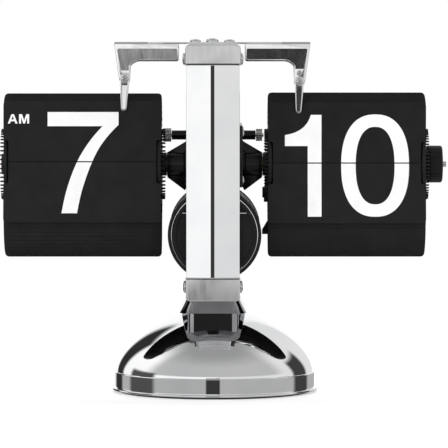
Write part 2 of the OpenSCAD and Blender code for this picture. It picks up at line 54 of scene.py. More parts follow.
AXIS_Z = JOINTS["minute_drum_spin"]["pos_m"][2]
# The pin that each drum's drop leaf hangs on, and the number of leaves round the drum
DROP_PIN = {part: Vector(JOINTS[part + "_leaf_drop"]["pos_m"]) for part in ("hour", "minute")}
LEAVES = {"hour": 48, "minute": 60}


def span(node, axis):
    """Lowest and highest value of a CAD node along axis 0, 1 or 2."""
    lo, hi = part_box(node)
    return lo[axis], hi[axis]


# -------- node helpers

# Nearly all of a noise texture's values lie between these
NOISE_LOW, NOISE_HIGH = 0.3, 0.7


def new_material(name):
    material = bpy.data.materials.new(name)
    material.use_nodes = True
    tree = material.node_tree
    return material, tree, tree.nodes["Principled BSDF"]


def add(tree, kind, **settings):
    """Adds a node; a setting with an input's name sets that input, else an attribute."""
    node = tree.nodes.new(kind)
    for key, value in settings.items():
        label = key.replace("_", " ").title()
        if label in node.inputs:
            node.inputs[label].default_value = value
        else:
            setattr(node, key, value)
    return node


def noise(tree, scale, detail=4.0, rough=0.5, stretch=(1, 1, 1)):
    """Noise over the object's own coordinates; scale is in cycles per metre."""
    coord = tree.nodes.new("ShaderNodeTexCoord")
    mapping = tree.nodes.new("ShaderNodeMapping")
    mapping.inputs["Scale"].default_value = stretch
    tree.links.new(coord.outputs["Object"], mapping.inputs["Vector"])
    node = add(tree, "ShaderNodeTexNoise", scale=scale, detail=detail, roughness=rough)
    tree.links.new(mapping.outputs["Vector"], node.inputs["Vector"])
    return node.outputs["Fac"]


def map_range(tree, value, start, end, low=0.0, high=1.0, kind="LINEAR"):
    """Maps start..end to low..high."""
    node = add(tree, "ShaderNodeMapRange", from_min=start, from_max=end, to_min=low, to_max=high,
               interpolation_type=kind)
    tree.links.new(value, node.inputs["Value"])
    return node.outputs["Result"]


def polish(tree, shader, grain, rough, change):
    """Lets the roughness vary with a grain."""
    value = map_range(tree, grain, NOISE_LOW, NOISE_HIGH, rough - change, rough + change)
    tree.links.new(value, shader.inputs["Roughness"])


def two_tone(tree, shader, cloud, dark, light):
    """Lets the colour vary with noise between dark and light."""
    ramp = tree.nodes.new("ShaderNodeValToRGB")
    ramp.color_ramp.elements[0].position = NOISE_LOW
    ramp.color_ramp.elements[1].position = NOISE_HIGH
    ramp.color_ramp.elements[0].color = (*dark, 1)
    ramp.color_ramp.elements[1].color = (*light, 1)
    tree.links.new(cloud, ramp.inputs["Fac"])
    tree.links.new(ramp.outputs["Color"], shader.inputs["Base Color"])


def bump(tree, shader, height, strength, distance):
    node = add(tree, "ShaderNodeBump", strength=strength, distance=distance)
    tree.links.new(height, node.inputs["Height"])
    tree.links.new(node.outputs["Normal"], shader.inputs["Normal"])


# -------- materials

def metal(name, dark, light, rough, grain, grain_scale, bump_size=0.0, streak=1):
    """Bare or plated metal: tone, polish and surface vary with noise, drawn out upwards by streak below 1."""
    material, tree, shader = new_material(name)
    shader.inputs["Metallic"].default_value = 1.0
    two_tone(tree, shader, noise(tree, 45, 5), dark, light)
    fine = noise(tree, grain_scale, 6, 0.6, (1, 1, streak))
    polish(tree, shader, fine, rough, grain)
    if bump_size:
        bump(tree, shader, fine, 0.35, bump_size)
    return material


def plastic(name, dark, light, rough, grain, grain_scale, bump_size, specular=0.5):
    """Moulded, printed or rubber surface with a fine grain."""
    material, tree, shader = new_material(name)
    two_tone(tree, shader, noise(tree, 120, 5), dark, light)
    fine = noise(tree, grain_scale, 5, 0.6)
    polish(tree, shader, fine, rough, grain)
    bump(tree, shader, fine, 0.3, bump_size)
    shader.inputs["Specular IOR Level"].default_value = specular
    return material


# Looks by slot name, and satin, cover and print for pieces that look unlike the rest of their slot
LOOK = {
    "chrome": metal("chrome_polished", (0.84, 0.85, 0.86), (0.93, 0.93, 0.935), 0.022, 0.014, 900),
    # dark_chrome: chrome with its colour darkened, painted shade for the neck post and flare
    "dark_chrome": metal("chrome_painted_shade", (0.3, 0.3, 0.31), (0.38, 0.38, 0.39), 0.06, 0.03, 500,
                         0.00001, 0.2),
    "satin": metal("satin_casting", (0.84, 0.84, 0.85), (0.94, 0.94, 0.95), 0.34, 0.08, 420, 0.00001, 0.08),
    "chrome_cast": metal("chrome_over_casting", (0.8, 0.8, 0.81), (0.9, 0.9, 0.905), 0.09, 0.04, 260,
                         0.00003, 0.25),
    "steel": metal("turned_steel", (0.6, 0.61, 0.63), (0.78, 0.78, 0.79), 0.2, 0.08, 1500, 0.00002),
    "iron": metal("ballast_iron", (0.2, 0.2, 0.21), (0.36, 0.36, 0.37), 0.5, 0.12, 700, 0.0001),
    "brass": metal("brass", (0.62, 0.45, 0.2), (0.8, 0.62, 0.3), 0.26, 0.08, 1200, 0.00003),
    "leaf": plastic("leaf_black", (0.0075, 0.0075, 0.0078), (0.0115, 0.0115, 0.0118), 0.42, 0.05, 5200,
                    0.000012, 0.22),
    "black_matte": plastic("moulded_black", (0.008, 0.008, 0.0085), (0.014, 0.014, 0.0145), 0.4, 0.08, 3600,
                           0.00003, 0.2),
    "black_gloss": plastic("gloss_black", (0.002, 0.002, 0.0022), (0.005, 0.005, 0.0053), 0.22, 0.06, 2600,
                           0.00001, 0.3),
    "cover": plastic("cover_black", (0.006, 0.006, 0.0063), (0.01, 0.01, 0.0105), 0.5, 0.08, 2600,
                     0.00002, 0.2),
    "nylon": plastic("nylon", (0.66, 0.66, 0.63), (0.8, 0.8, 0.78), 0.42, 0.08, 2400, 0.00002),
    "rubber": plastic("rubber", (0.012, 0.012, 0.012), (0.025, 0.025, 0.025), 0.75, 0.1, 2600, 0.00008),
    "print": plastic("numeral_white", (0.86, 0.86, 0.86), (0.93, 0.93, 0.93), 0.5, 0.06, 3000, 0.000006),
    "cell": metal("cell_wrap", (0.1, 0.1, 0.12), (0.16, 0.16, 0.18), 0.3, 0.08, 800),
}

for row in frame["record"]["subparts"]:
    mesh = NODES[row["node"]].data
    mesh.materials.clear()
    mesh.materials.append(LOOK[row["material_slot"]])


# -------- outlines and profiles

def rectangle(x0, x1, z0, z1):
    """Corners, counter-clockwise."""
    return [(x0, z0), (x1, z0), (x1, z1), (x0, z1)]


def arc(cx, cz, r, start, end, steps):
    """Points on a circle from one angle to another, in radians."""
    angles = [start + (end - start) * i / steps for i in range(steps + 1)]
    return [(cx + r * math.cos(a), cz + r * math.sin(a)) for a in angles]


def curve(*points, steps=12):
    """Quadratic curves end to end: through every other point, drawn towards the ones between."""
    out = [tuple(points[0])]
    corners = [Vector(point) for point in points]
    for a, b, c in zip(corners[::2], corners[1::2], corners[2::2]):
        for i in range(1, steps + 1):
            t = i / steps
            out.append(tuple((1 - t) ** 2 * a + 2 * t * (1 - t) * b + t * t * c))
    return out


def corner_arc(before, corner, after, radius, steps):
    """The points that round one corner, or the corner itself where there is no room or no bend."""
    a, b, c = Vector(before), Vector(corner), Vector(after)
    u, v = a - b, c - b
    room = min(u.length, v.length) * 0.49
    if radius <= 0 or room < 1e-9:
        return [tuple(b)]
    u.normalize()
    v.normalize()
    angle = u.angle(v)
    if angle > math.pi - 0.02:
        return [tuple(b)]
    cut = min(radius / math.tan(angle / 2), room)
    return curve(b + u * cut, b, b + v * cut, steps=steps)


def rounded(points, radius, steps=4):
    """A profile with every inner corner rounded by up to radius."""
    out = [points[0]]
    for k in range(1, len(points) - 1):
        out += corner_arc(points[k - 1], points[k], points[k + 1], radius, steps)
    out.append(points[-1])
    return out


def rounded_loop(points, radius, steps=5):
    """A closed outline with its corners rounded; radius is a number or a list with one value per corner."""
    n = len(points)
    out = []
    for k in range(n):
        r = radius[k] if isinstance(radius, list) else radius
        out += corner_arc(points[k - 1], points[k], points[(k + 1) % n], r, steps)
    return out


def inset_loop(points, distance):
    """Moves each point of a counter-clockwise outline inwards by about distance."""
    if distance <= 0:
        return points
    n = len(points)
    out = []
    for k in range(n):
        a, b, c = Vector(points[k - 1]), Vector(points[k]), Vector(points[(k + 1) % n])
        e1, e2 = b - a, c - b
        if e1.length < 1e-9 or e2.length < 1e-9:
            e1 = e2 = c - a
        n1 = Vector((-e1.y, e1.x)).normalized()
        n2 = Vector((-e2.y, e2.x)).normalized()
        m = n1 + n2
        m = m.normalized() if m.length > 1e-6 else n1
        scale = min(1 / max(0.35, m.dot(n1)), 2.5)
        out.append(tuple(b + m * distance * scale))
    return out


# -------- mesh helpers

SHARP_DEG = 32
UPRIGHT = Matrix.Identity(4)
# A plane drawn as (x, z) whose local Z runs along -Y
FACE_XZ = Matrix(((1, 0, 0, 0), (0, 0, -1, 0), (0, 1, 0, 0), (0, 0, 0, 1)))
# A plane drawn as (-y, z) whose local Z runs along +X
SIDE_YZ = Matrix(((0, 0, 1, 0), (-1, 0, 0, 0), (0, 1, 0, 0), (0, 0, 0, 1)))
AXIS_TURN = {
    "Z": UPRIGHT,
    "X": Matrix.Rotation(math.radians(90), 4, "Y"),
    "-X": Matrix.Rotation(math.radians(-90), 4, "Y"),
    "Y": Matrix.Rotation(math.radians(-90), 4, "X"),
    "-Y": Matrix.Rotation(math.radians(90), 4, "X"),
}


def at(centre, axis):
    return Matrix.Translation(centre) @ AXIS_TURN[axis]


def mark_sharp(bm, sharp_deg):
    """Shades across every edge that is less sharp than sharp_deg."""
    limit = math.radians(sharp_deg)
    for edge in bm.edges:
        edge.smooth = len(edge.link_faces) == 2 and edge.calc_face_angle(0) < limit


def finish_mesh(name, bm, material, sharp_deg=SHARP_DEG, smooth=True):
    """Turns a bmesh into an object."""
    bmesh.ops.remove_doubles(bm, verts=bm.verts, dist=1e-7)
    bmesh.ops.recalc_face_normals(bm, faces=bm.faces)
    for face in bm.faces:
        face.smooth = smooth
    mark_sharp(bm, sharp_deg)
    mesh = bpy.data.meshes.new(name)
    bm.to_mesh(mesh)
    bm.free()
    mesh.materials.append(material)
    piece = bpy.data.objects.new(name, mesh)
    bpy.context.scene.collection.objects.link(piece)
    return piece


def place(piece, body, slot, *nodes):
    """Rides the piece on its body and hides the CAD nodes it stands for; slot is not used."""
    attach(piece, body)
    if nodes:
        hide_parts(*nodes)
    return piece


def make(name, bm, node, slot, sharp_deg, body="root", look=None):
    """Finishes a bmesh as the piece that stands for one CAD node."""
    place(finish_mesh(name, bm, LOOK[look or slot], sharp_deg), body, slot, node)


def add_lathe(bm, profile, matrix=UPRIGHT, steps=96, wave=None):
    """Revolves (radius, height) points about the local Z axis. wave(angle, radius) may reshape it."""
    rings = []
    for r, h in profile:
        if r < 1e-9:
            rings.append([bm.verts.new(matrix @ Vector((0, 0, h)))])
            continue
        ring = []
        for i in range(steps):
            a = 2 * math.pi * i / steps
            rr = wave(a, r) if wave else r
            ring.append(bm.verts.new(matrix @ Vector((rr * math.cos(a), rr * math.sin(a), h))))
        rings.append(ring)
    for low, high in zip(rings, rings[1:]):
        for i in range(steps):
            j = (i + 1) % steps
            corner = [low[i % len(low)], low[j % len(low)], high[j % len(high)], high[i % len(high)]]
            corner = list(dict.fromkeys(corner))
            if len(corner) > 2:
                bm.faces.new(corner)


def add_rod(bm, start, axis, r, length, steps=40):
    """A plain round bar."""
    add_lathe(bm, [(0, 0), (r, 0), (r, length), (0, length)], at(start, axis), steps)


def add_tube(bm, start, axis, inner, outer, lo, hi, edge, edge_steps, steps):
    """A ring of rectangular section from height lo to hi along the axis, its outer corners rounded."""
    profile = rounded([(inner, lo), (outer, lo), (outer, hi), (inner, hi)], edge, edge_steps)
    add_lathe(bm, profile + [(inner, lo)], at(start, axis), steps)


def add_loft(bm, rings):
    """Joins rings of equally many vertices with walls and closes both ends."""
    n = len(rings[0])
    for low, high in zip(rings, rings[1:]):
        for i in range(n):
            j = (i + 1) % n
            bm.faces.new((low[i], low[j], high[j], high[i]))
    bm.faces.new(list(reversed(rings[0])))
    bm.faces.new(rings[-1])


def add_prism(bm, outline, matrix, lo, hi, edge=0.0, edge_steps=3):
    """Extrudes a closed 2D outline along local Z from lo to hi, with rounded rims of size edge."""
    levels = [(lo, edge)]
    if edge > 0:
        for i in range(1, edge_steps + 1):
            a = math.pi / 2 * i / edge_steps
            levels.append((lo + edge * (1 - math.cos(a)), edge * (1 - math.sin(a))))
    levels += [(hi - (z - lo), inset) for z, inset in reversed(levels)]
    rings = []
    for z, inset in levels:
        rings.append([bm.verts.new(matrix @ Vector((x, y, z))) for x, y in inset_loop(outline, inset)])
    add_loft(bm, rings)


def add_box(bm, x0, x1, y0, y1, z0, z1, edge=0.0):
    outline = rectangle(x0, x1, y0, y1)
    if edge:
        outline = rounded_loop(outline, edge, 3)
    add_prism(bm, outline, UPRIGHT, z0, z1, edge)


def cut_away(piece, cutter_bm):
    """Subtracts a closed bmesh from a piece for good."""
    bmesh.ops.recalc_face_normals(cutter_bm, faces=cutter_bm.faces)
    mesh = bpy.data.meshes.new("cutter")
    cutter_bm.to_mesh(mesh)
    cutter_bm.free()
    cutter = bpy.data.objects.new("cutter", mesh)
    bpy.context.scene.collection.objects.link(cutter)
    modifier = piece.modifiers.new("cut", "BOOLEAN")
    modifier.operation = "DIFFERENCE"
    modifier.solver = "EXACT"
    modifier.object = cutter
    bpy.context.view_layer.update()
    baked = bpy.data.meshes.new_from_object(piece.evaluated_get(bpy.context.evaluated_depsgraph_get()))
    piece.modifiers.clear()
    old = piece.data
    piece.data = baked
    bpy.data.meshes.remove(old)
    bpy.data.objects.remove(cutter)
    bm = bmesh.new()
    bm.from_mesh(baked)
    mark_sharp(bm, SHARP_DEG)
    bm.to_mesh(baked)
    bm.free()


def cut_prism(piece, outline, matrix, lo, hi):
    bm = bmesh.new()
    add_prism(bm, outline, matrix, lo, hi)
    cut_away(piece, bm)


def tilt_face(piece, low_y, high_y, from_z, degrees):
    """Leans the part of a piece between two depths: positive degrees turn it to look upwards."""
    for vert in piece.data.vertices:
        if low_y <= vert.co.y <= high_y:
            vert.co.y += (vert.co.z - from_z) * math.tan(math.radians(degrees))


# -------- base and neck

BAND_TOP = 9.2 * MM
BAND_STEP = 0.6 * MM
DOME_POWER = 1.7
DOME_FLAT_R = 12.6 * MM
POST_FOOT_Z = 27.5 * MM
# The flare's head over its foot, from side to side and from front to back
FLARE_HEAD = (12 / 15.2, 28.8 / 32)
FLARE_POWER = 0.85
FLARE_LIP = 0.15 * MM


def build_dome():
    """Upright band, then a superellipse up to the small flat under the neck."""
    z0, top = span("base_dome", 2)
    r = span("base_dome", 0)[1]
    a = r - BAND_STEP
    b = (top - BAND_TOP) / (1 - (DOME_FLAT_R / a) ** DOME_POWER) ** (1 / DOME_POWER)
    end = math.acos((DOME_FLAT_R / a) ** (DOME_POWER / 2))
    profile = [(0, z0), (r - 0.4 * MM, z0), (r, z0 + 0.4 * MM)]
    profile += [(r, BAND_TOP - 0.4 * MM), (r - 0.15 * MM, BAND_TOP - 0.12 * MM), (r - 0.4 * MM, BAND_TOP)]
    for i in range(81):
        t = end * i / 80
        profile.append((a * math.cos(t) ** (2 / DOME_POWER), BAND_TOP + b * math.sin(t) ** (2 / DOME_POWER)))
    bm = bmesh.new()
    add_lathe(bm, profile + [(0, top)], steps=256)
    make("base_dome_shell", bm, "base_dome", "chrome", 24)


def build_base_plate():
    z0, z1 = span("base_plate", 2)
    r = span("base_plate", 0)[1]
    bm = bmesh.new()
    add_lathe(bm, rounded([(0, z0), (r, z0), (r, z1), (0, z1)], 0.4 * MM), steps=192)
    make("base_rim_plate", bm, "base_plate", "chrome", 40)


def plan(node, radius):
    """A node's outline from above, with round corners."""
    lo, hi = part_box(node)
    centres = rectangle(lo[0] + radius, hi[0] - radius, radius - hi[1], hi[1] - radius)
    loop = []
    for k, (x, y) in enumerate(centres):
        loop += arc(x, y, radius, math.pi * (1 + k / 2), math.pi * (1.5 + k / 2), 14)
    return loop


def build_neck_post():
    bm = bmesh.new()
    add_prism(bm, plan("neck_block", 3 * MM), UPRIGHT, POST_FOOT_Z, span("neck_block", 2)[1])
    # The darkened chrome paints the shade on the neck post
    make("neck_post", bm, "neck_block", "dark_chrome", 30)


def build_neck_flare():
    """Skirt round the neck's foot that draws in as it rises."""
    lo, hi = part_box("neck_skirt")
    cx = (lo[0] + hi[0]) / 2
    foot = plan("neck_skirt", 7 * MM)
    head = [(cx + (x - cx) * FLARE_HEAD[0], y * FLARE_HEAD[1]) for x, y in foot]
    start = lo[2] + FLARE_LIP
    levels = [(inset_loop(foot, 0.25 * MM), lo[2]), (foot, start)]
    for i in range(1, 9):
        t = i / 8
        ring = [tuple(Vector(p).lerp(Vector(q), t ** FLARE_POWER)) for p, q in zip(foot, head)]
        levels.append((ring, start + (hi[2] - start) * t))
    bm = bmesh.new()
    add_loft(bm, [[bm.verts.new((x, y, z)) for x, y in ring] for ring, z in levels])
    # The darkened chrome paints the shade on the neck flare
    make("neck_flare", bm, "neck_skirt", "dark_chrome", 30)


# -------- column

BAR_BACK, BAR_FRONT, BAR_RIDGE = 35.0 * MM, 37.4 * MM, 38.6 * MM
RIDGE_SOFT = 1.2 * MM
# Corners of the cap and collar seen from the front: the round pair, and the pair that meets the bar
CASTING_ROUND, CASTING_CRISP = 2.5 * MM, 0.3 * MM
COLLAR_DEPTH = 5 * MM
COLLAR_FLOOR = 5 * MM


def bar_outline(side, cx, half):
    """Section of a column bar: flat back, two flat faces and a rounded ridge between them."""
    points = [(half, BAR_BACK), (half, BAR_FRONT - 0.5 * MM), (half - 0.1 * MM, BAR_FRONT - 0.15 * MM),
              (half - 0.4 * MM, BAR_FRONT + 0.04 * MM)]
    slope = (BAR_RIDGE - BAR_FRONT) / half
    points += [(half * k, BAR_RIDGE - slope * half * k) for k in (0.8, 0.6, 0.4, 0.2)]
    for i in range(13):
        x = RIDGE_SOFT * (1 - i / 12)
        points.append((x, BAR_RIDGE - slope * (x * x / (2 * RIDGE_SOFT) + RIDGE_SOFT / 2)))
    points += [(-x, y) for x, y in reversed(points[:-1])]
    loop = [(cx + x, side * y) for x, y in points]
    return loop if side > 0 else list(reversed(loop))


def build_bar(where, side):
    node = f"column_{where}_bar"
    lo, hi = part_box(node)
    outline = bar_outline(side, (lo[0] + hi[0]) / 2, (hi[0] - lo[0]) / 2)
    bm = bmesh.new()
    add_prism(bm, outline, UPRIGHT, lo[2], hi[2])
    make(f"column_{where}_ridged", bm, node, "chrome", 25)


def build_cap():
    lo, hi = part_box("upper_cap")
    radii = [CASTING_CRISP, CASTING_CRISP, CASTING_ROUND, CASTING_ROUND]
    bm = bmesh.new()
    outline = rounded_loop(rectangle(lo[0], hi[0], lo[2], hi[2]), radii, 8)
    add_prism(bm, outline, FACE_XZ, -hi[1], -lo[1], 0.9 * MM, 5)
    make("upper_cap_casting", bm, "upper_cap", "chrome_cast", 35, look="satin")


def build_collar():
    """Front wall that holds the bar's foot, and the low floor behind it."""
    lo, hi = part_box("lower_collar")
    wall = lo[1] + COLLAR_DEPTH
    radii = [CASTING_ROUND, CASTING_ROUND, CASTING_CRISP, CASTING_CRISP]
    bm = bmesh.new()
    outline = rounded_loop(rectangle(lo[0], hi[0], lo[2], hi[2]), radii, 8)
    add_prism(bm, outline, FACE_XZ, -wall, -lo[1], 0.7 * MM, 5)
    inset = 0.1 * MM
    radii = [CASTING_ROUND - inset, CASTING_ROUND - inset, CASTING_CRISP, CASTING_CRISP]
    low = rounded_loop(rectangle(lo[0] + inset, hi[0] - inset, lo[2], lo[2] + COLLAR_FLOOR), radii, 8)
    add_prism(bm, low, FACE_XZ, -hi[1], -wall + 0.5 * MM, 0.4 * MM, 3)
    make("lower_collar_casting", bm, "lower_collar", "chrome_cast", 35, look="satin")


def build_top_plate():
    lo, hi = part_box("top_plate")
    bm = bmesh.new()
    add_box(bm, lo[0], hi[0], lo[1], hi[1], lo[2], hi[2], 0.25 * MM)
    make("top_plate_strip", bm, "top_plate", "chrome", 35)


# -------- screws

# Heads as (radius, height)
SIDE_HEAD = (2.7 * MM, 1.3 * MM)
PIVOT_HEAD = (1.8 * MM, 1 * MM)
LEG_HEAD = (1.3 * MM, 1 * MM)
GEARBOX_HEAD = (1.8 * MM, 0.8 * MM)
SUNK_HEAD = (1.85 * MM, 0.4 * MM)
# The three screws over the column as (x, radius, height): their heads differ
COLUMN_HEADS = ((-8.7 * MM, 2.5 * MM, 1.4 * MM), (-1 * MM, 2.85 * MM, 1.8 * MM),
                (6.7 * MM, 2.4 * MM, 1.3 * MM))
SUNK_SCREW_X = 23 * MM
CAP_SCREW_Y, CAP_SCREW_Z = 36 * MM, 152 * MM
COLLAR_SCREW_Y, COLLAR_SCREW_Z = 37.4 * MM, 50 * MM
LEG_SCREW_X, LEG_SCREW_Z = 38.4 * MM, 145.4 * MM
GEARBOX_WALL_X = 12.6 * MM
GEARBOX_SCREW_Y, GEARBOX_SCREW_Z = 31 * MM, (97.6 * MM, 118.8 * MM)


def screw_set(name, spots, node):
    """Button-head screws with a cross recess. Each spot is (centre of the seat, axis, radius, height)."""
    bm = bmesh.new()
    cut = bmesh.new()
    for centre, axis, r, h in spots:
        m = at(centre, axis)
        dome = []
        for i in range(8):
            a = math.pi / 2 * i / 8
            dome.append((r * math.cos(a), h * 0.35 + h * 0.65 * math.sin(a)))
        skirt = [(0, -0.3 * MM), (r * 0.96, -0.3 * MM), (r * 0.96, 0), (r, 0.05 * MM)]
        add_lathe(bm, skirt + dome + [(0, h)], m, 48)
        arm, wide = r * 0.6, r * 0.16
        cross = []
        for k in range(4):
            c, s = math.cos(k * math.pi / 2), math.sin(k * math.pi / 2)
            cross += [(x * c - y * s, x * s + y * c) for x, y in ((arm, -wide), (arm, wide), (wide, wide))]
        add_prism(cut, cross, m @ Matrix.Rotation(0.35, 4, "Z"), h * 0.3, h * 1.6)
    piece = finish_mesh(name, bm, LOOK["steel"], 40)
    cut_away(piece, cut)
    place(piece, "root", "steel", node)


def build_side_screws():
    spots = []
    for side, axis in ((0, "-X"), (1, "X")):
        cap_x, collar_x = span("upper_cap", 0)[side], span("lower_collar", 0)[side]
        for y in (-CAP_SCREW_Y, CAP_SCREW_Y):
            spots.append(((cap_x, y, CAP_SCREW_Z), axis, *SIDE_HEAD))
        spots.append(((collar_x, -COLLAR_SCREW_Y, COLLAR_SCREW_Z), axis, *SIDE_HEAD))
    screw_set("side_screw_set", spots, "side_screws")


def build_top_screws():
    top = span("top_plate", 2)[1]
    y = sum(span("top_plate", 1)) / 2
    spots = [((x, y, top), "Z", r, h) for x, r, h in COLUMN_HEADS]
    spots += [((x, y, top - 0.35 * MM), "Z", *SUNK_HEAD) for x in (-SUNK_SCREW_X, SUNK_SCREW_X)]
    screw_set("top_screw_set", spots, "top_screws")


def build_finger_screws():
    """The pivots' heads in front of the fingers, and one more screw in the right arm's leg."""
    front = span("arm_right", 1)[0]
    spots = []
    for side in ("left", "right"):
        x, _, z = JOINTS[side + "_finger_swing"]["pos_m"]
        spots.append(((x, front - 2.25 * MM, z), "-Y", *PIVOT_HEAD))
    spots.append(((LEG_SCREW_X, front, LEG_SCREW_Z), "-Y", *LEG_HEAD))
    screw_set("finger_screw_set", spots, "finger_screws")


def build_gearbox_screws():
    spots = []
    for y in (-GEARBOX_SCREW_Y, GEARBOX_SCREW_Y):
        for z in GEARBOX_SCREW_Z:
            spots.append(((GEARBOX_WALL_X, y, z), "X", *GEARBOX_HEAD))
    screw_set("gearbox_screw_set", spots, "gearbox_screws")


# -------- arms and fingers

ARM_UNDER = 150.7 * MM
ARM_BEND_R = 5.4 * MM
LEG_HALF = 2.7 * MM
ARM_BEVEL = 1 * MM
# The panel sunk in an arm's front: the rim left round it, its depth and its top edge
RECESS_RIM, RECESS_DEPTH, RECESS_TOP = 0.85 * MM, 1.5 * MM, 156.5 * MM
# Heights between which the top plate needs room across the arm
PLATE_SEAT_Z, PLATE_CLEAR_Z = 158.59 * MM, 161 * MM
FINGER_TIP_R = 1.35 * MM
FINGER_DEPTH, CHANNEL_DEPTH = 2 * MM, 0.9 * MM


def arm_outline(side, inner, top_right, leg_x, foot, inset=0.0):
    """Outline of an arm in (x, z), drawn for the right-hand side and mirrored for the left.

    An arc joins the underside to the leg, foot lists (x, z, corner radius) round the leg's end, and
    top_right is the outer upper corner."""
    r = ARM_BEND_R + inset
    cx, cz = leg_x - LEG_HALF - 4.4 * MM, ARM_UNDER - ARM_BEND_R
    last = math.acos((leg_x - LEG_HALF + inset - cx) / r)
    corners = [(inner + inset, ARM_UNDER + inset, 1.4 * MM)]
    corners += [(x, z, 0) for x, z in arc(cx, cz, r, math.pi / 2, last, 12)]
    corners += foot
    corners += [(top_right[0], top_right[1], 0.8 * MM), (inner + inset, top_right[1], 0.6 * MM)]
    loop = rounded_loop([c[:2] for c in corners], [c[2] for c in corners], 7)
    return [(-x, z) for x, z in reversed(loop)] if side < 0 else loop


def cut_bevel(piece, lo, hi):
    """Takes the sharp edge off between an arm's front and its top."""
    y, z, b = -lo[1], hi[2], ARM_BEVEL
    wedge = [(y + b, z - b), (y + b, z + b), (y - b, z + b), (y - b, z), (y, z - b)]
    cut_prism(piece, wedge, SIDE_YZ, lo[0] - MM, hi[0] + MM)


def build_arm(node, side, leg_x, foot_z, recess_foot, lean):
    """Bracket arm with a bevelled top edge and a recessed panel that leans by some degrees."""
    lo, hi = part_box(node)
    inner, outer = sorted((abs(lo[0]), abs(hi[0])))
    front = lo[1]
    foot = [(leg_x - LEG_HALF + 0.3 * MM, foot_z + 2.5 * MM, 1 * MM), (leg_x - 1.5 * MM, foot_z, 1.4 * MM),
            (leg_x + 1.5 * MM, foot_z, 1.4 * MM), (leg_x + LEG_HALF, foot_z + 3.5 * MM, 2 * MM)]
    outline = arm_outline(side, inner, (outer, hi[2]), leg_x, foot)
    bm = bmesh.new()
    add_prism(bm, outline, FACE_XZ, -hi[1], -front, 0.32 * MM, 3)
    piece = finish_mesh(node + "_casting", bm, LOOK["chrome_cast"], 35)
    cut_bevel(piece, lo, hi)

    end = [(leg_x - LEG_HALF + RECESS_RIM, recess_foot, 0.4 * MM),
           (leg_x + LEG_HALF - RECESS_RIM, recess_foot, 0.4 * MM)]
    outline = arm_outline(side, inner, (outer - 1.6 * RECESS_RIM, RECESS_TOP), leg_x, end, RECESS_RIM)
    cut_prism(piece, outline, FACE_XZ, -front - RECESS_DEPTH, -front + MM)
    tilt_face(piece, front + RECESS_DEPTH - 0.3 * MM, front + RECESS_DEPTH + 0.1 * MM, 153 * MM, lean)
    tilt_face(piece, front - 0.01 * MM, front + 0.5 * MM, hi[2] - 11 * MM, 2.1)

    plate_end = span("top_plate", 0)[1] + 0.1 * MM
    x0, x1 = sorted((side * (inner - MM), side * plate_end))
    cut_prism(piece, rectangle(x0, x1, lo[1] - MM, hi[1] + MM), UPRIGHT, PLATE_SEAT_Z, PLATE_CLEAR_Z)
    place(piece, "root", "chrome_cast", node)


def build_finger(side, lean):
    """Channel-shaped leaf finger: a rounded eye at the pivot tapering to a round tip."""
    node = "finger_" + side
    pivot = Vector(JOINTS[side + "_finger_swing"]["pos_m"])
    lo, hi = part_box(node)
    eye = (hi[0] - lo[0]) / 2
    front, back = lo[1], lo[1] + FINGER_DEPTH
    tip_x, tip_z = pivot.x - 0.4 * MM, lo[2] + FINGER_TIP_R

    outline = arc(pivot.x, pivot.z + 0.4 * MM, eye, 0, math.pi, 16)
    outline += arc(tip_x, tip_z, FINGER_TIP_R, math.pi, 2 * math.pi, 12)
    bm = bmesh.new()
    add_prism(bm, outline, FACE_XZ, -back, -front, 0.3 * MM, 3)
    piece = finish_mesh(node + "_channel", bm, LOOK["chrome_cast"], 35)

    top, half = pivot.z - 2.6 * MM, (eye - 0.8 * MM) * 0.86
    channel = [(pivot.x + half, top), (pivot.x - half, top)]
    channel += arc(tip_x, tip_z, FINGER_TIP_R - 0.62 * MM, math.pi, 2 * math.pi, 12)
    channel = rounded_loop(channel, [0.5 * MM, 0.5 * MM] + [0] * 13, 4)
    cut_prism(piece, channel, FACE_XZ, -front - CHANNEL_DEPTH, -front + MM)
    floor = front + CHANNEL_DEPTH
    tilt_face(piece, floor - 0.1 * MM, floor + 0.1 * MM, (pivot.z + lo[2]) / 2, lean)

    bm = bmesh.new()
    bm.from_mesh(piece.data)
    add_box(bm, tip_x - 1.1 * MM, tip_x + 1.1 * MM, back - 0.1 * MM, hi[1],
            lo[2] + 1 * MM, lo[2] + 3 * MM, 0.2 * MM)
    bm.to_mesh(piece.data)
    bm.free()
    place(piece, side + "_finger", "chrome_cast", node)


# -------- drums

WHEEL_R, WHEEL_T = 17.7 * MM, 1.9 * MM
WHEEL_BORE = 2.05 * MM
PIN_R, PIN_OUT = 0.4 * MM, 1.8 * MM
# The web between the hub and the rim, where the ribs run
WEB_IN, WEB_OUT = 5.2 * MM, 13.6 * MM
HUB_OUT = 3.6 * MM
BOSS_IN, BOSS_OUT, BOSS_LENGTH = 4 * MM, 5.3 * MM, 2.38 * MM
# Where the minute wheel's disc faces the column: its box also takes in the carry lug
MINUTE_INNER_X = 24.3 * MM


def drum_pin(part, steps):
    """The pin that many steps after the drop leaf's round the drum."""
    pin = DROP_PIN[part]
    a = math.atan2(pin.z - AXIS_Z, -pin.y) + 2 * math.pi * steps / LEAVES[part]
    r = math.hypot(pin.y, pin.z - AXIS_Z)
    return Vector((0, -r * math.cos(a), AXIS_Z + r * math.sin(a)))


def disc_face(node, out):
    """Where a wheel's pin side stands along X."""
    if node == "minute_wheel_inner":
        return MINUTE_INNER_X
    lo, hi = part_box(node)
    return hi[0] - PIN_OUT if out > 0 else lo[0] + PIN_OUT


def add_carry_lug(bm, face):
    """Two steps low on the minute drum's inner wheel."""
    for x, below, above in ((21.7, 15.2, 10.4), (22.4, 17.2, 15.1)):
        add_box(bm, x * MM, face + 0.1 * MM, -2.4 * MM, 2.4 * MM, AXIS_Z - below * MM, AXIS_Z - above * MM,
                0.2 * MM)


